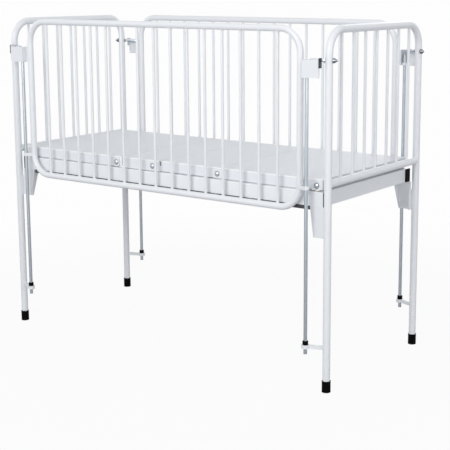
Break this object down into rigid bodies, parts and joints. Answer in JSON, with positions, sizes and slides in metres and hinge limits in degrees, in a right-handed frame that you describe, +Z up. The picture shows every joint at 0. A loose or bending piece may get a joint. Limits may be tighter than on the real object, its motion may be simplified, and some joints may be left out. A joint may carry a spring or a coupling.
{
  "type": "pediatric hospital bed",
  "caption": "Child's ward bed: tubular end frames on rubber feet, barred drop sides sliding on guide rods, and a hinged sheet deck with back and knee sections.",
  "frame": {"origin": "on the floor under the middle of the bed", "axes": "+X to the foot end, +Y to the back side, +Z up"},
  "size_m": [1.4482, 0.674, 1.18],
  "materials": {
    "white_coat": "gloss powder coat",
    "deck_coat": "satin powder coat",
    "zinc": "zinc plated",
    "nut_chrome": "dark polished",
    "black_rubber": "matt",
    "black_plastic": "matt",
    "nylon": "matt"
  },
  "bodies": {
    "bed_frame": {"back_hinge_bolts": "zinc", "back_left_corner_bracket": "white_coat", "back_left_foot_cap": "black_rubber", "back_left_guide_rod": "zinc", "back_left_rod_lug": "white_coat", "back_prop_combs": "zinc", "back_right_corner_bracket": "white_coat", "back_right_foot_cap": "black_rubber", "back_right_guide_rod": "zinc", "back_right_rod_lug": "white_coat", "back_side_tube": "white_coat", "deck_rest_pads": "black_rubber", "frame_crossbars": "white_coat", "front_left_corner_bracket": "white_coat", "front_left_foot_cap": "black_rubber", "front_left_guide_rod": "zinc", "front_left_rod_lug": "white_coat", "front_right_corner_bracket": "white_coat", "front_right_foot_cap": "black_rubber", "front_right_guide_rod": "zinc", "front_right_rod_lug": "white_coat", "front_side_tube": "white_coat", "knee_prop_combs": "zinc", "left_end_bars": "white_coat", "left_end_cross_tube": "white_coat", "left_end_frame": "white_coat", "left_frame_end_member": "white_coat", "right_end_bars": "white_coat", "right_end_cross_tube": "white_coat", "right_end_frame": "white_coat", "right_frame_end_member": "white_coat", "rod_bumpers": "black_rubber", "rod_cone_nuts": "nut_chrome", "rod_jam_nuts": "zinc", "seat_section_tray": "deck_coat", "side_tube_caps": "black_plastic", "side_tube_runners": "white_coat", "thigh_hinge_bolts": "zinc"},
    "front_rail": {"front_left_latch_plate": "white_coat", "front_rail_bars": "white_coat", "front_rail_collars": "white_coat", "front_rail_loop": "white_coat", "front_right_latch_plate": "white_coat"},
    "back_rail": {"back_left_latch_plate": "white_coat", "back_rail_bars": "white_coat", "back_rail_collars": "white_coat", "back_rail_loop": "white_coat", "back_right_latch_plate": "white_coat"},
    "back_section": {"back_prop_channel": "deck_coat", "back_prop_pins": "zinc", "back_section_tray": "deck_coat"},
    "back_prop": {"back_prop_bow": "zinc"},
    "thigh_section": {"knee_hinge_bolts": "zinc", "knee_prop_channel": "deck_coat", "knee_prop_pins": "zinc", "thigh_section_tray": "deck_coat"},
    "calf_section": {"calf_end_bolts": "zinc", "calf_glides": "nylon", "calf_section_tray": "deck_coat"},
    "knee_prop": {"knee_prop_bow": "zinc"}
  },
  "joints": [
    {"name": "front_rail_drop", "type": "slide", "parent": "bed_frame", "child": "front_rail", "axis": [0, 0, -1], "range_m": [0, 0.495]},
    {"name": "back_rail_drop", "type": "slide", "parent": "bed_frame", "child": "back_rail", "axis": [0, 0, -1], "range_m": [0, 0.495]},
    {"name": "back_tilt", "type": "hinge", "parent": "bed_frame", "child": "back_section", "pos_m": [-0.207, 0, 0.673], "axis": [0, 1, 0], "range_deg": [0, 60]},
    {"name": "back_prop_swing", "type": "hinge", "parent": "back_section", "child": "back_prop", "pos_m": [-0.407, 0, 0.673], "axis": [0, -1, 0], "range_deg": [0, 120]},
    {"name": "thigh_tilt", "type": "hinge", "parent": "bed_frame", "child": "thigh_section", "pos_m": [-0.0386, 0, 0.673], "axis": [0, -1, 0], "range_deg": [0, 20]},
    {"name": "calf_fold", "type": "hinge", "parent": "thigh_section", "child": "calf_section", "pos_m": [0.2484, 0, 0.673], "axis": [0, 1, 0], "range_deg": [0, 34.3]},
    {"name": "knee_prop_swing", "type": "hinge", "parent": "thigh_section", "child": "knee_prop", "pos_m": [0.1614, 0, 0.673], "axis": [0, 1, 0], "range_deg": [0, 40]}
  ],
  "couplings": [
    {"joint": "back_prop_swing", "follows": "back_tilt", "ratio": 2},
    {"joint": "calf_fold", "follows": "thigh_tilt", "ratio": 1.715},
    {"joint": "knee_prop_swing", "follows": "thigh_tilt", "ratio": 2}
  ]
}
